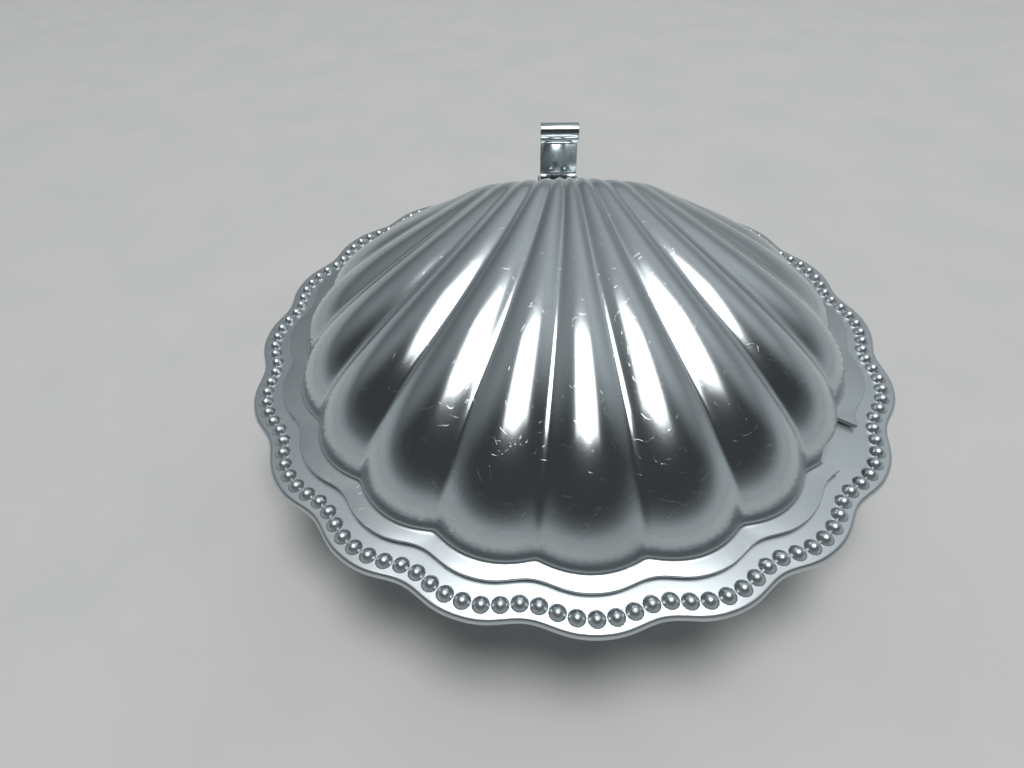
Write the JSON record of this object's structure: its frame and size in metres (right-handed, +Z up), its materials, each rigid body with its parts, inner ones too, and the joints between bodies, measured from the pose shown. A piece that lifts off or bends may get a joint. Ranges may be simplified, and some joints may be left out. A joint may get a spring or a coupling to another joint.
{
  "type": "covered caviar dish",
  "caption": "Round covered table dish in the form of a scallop shell, with a beaded tray on feet, a hinged fluted lid with thumb lever and a glass liner.",
  "frame": {"origin": "on the table, under the middle of the dish's whole length, hinge included", "axes": "+Z up; the front of the dish faces -Y and the hinge is at +Y"},
  "size_m": [0.1418, 0.146, 0.0551],
  "materials": {
    "satin_steel": "satin stainless steel, bright on the beads",
    "polished_steel": "polished stainless steel with fine scratches",
    "spring_steel": "bright rolled stainless strip",
    "pressed_glass": "clear pressed glass"
  },
  "bodies": {
    "tray": {"tray": "satin_steel", "tray_hinge_leaf": "spring_steel", "hinge_pin": "spring_steel", "foot_back": "polished_steel", "foot_front_left": "polished_steel", "foot_front_right": "polished_steel"},
    "lid": {"lid_shell": "polished_steel", "lid_hinge_leaf": "spring_steel", "thumb_lever": "spring_steel", "rivet_left": "polished_steel", "rivet_right": "polished_steel"},
    "liner": {"glass_liner": "pressed_glass"}
  },
  "joints": [
    {"name": "lid_hinge", "type": "hinge", "parent": "tray", "child": "lid", "pos_m": [0, 0.07105, 0.02315], "axis": [-1, 0, 0], "range_deg": [0, 95]},
    {"name": "liner_lift", "type": "slide", "parent": "tray", "child": "liner", "axis": [0, 0, 1], "range_m": [0, 0.0035]}
  ]
}
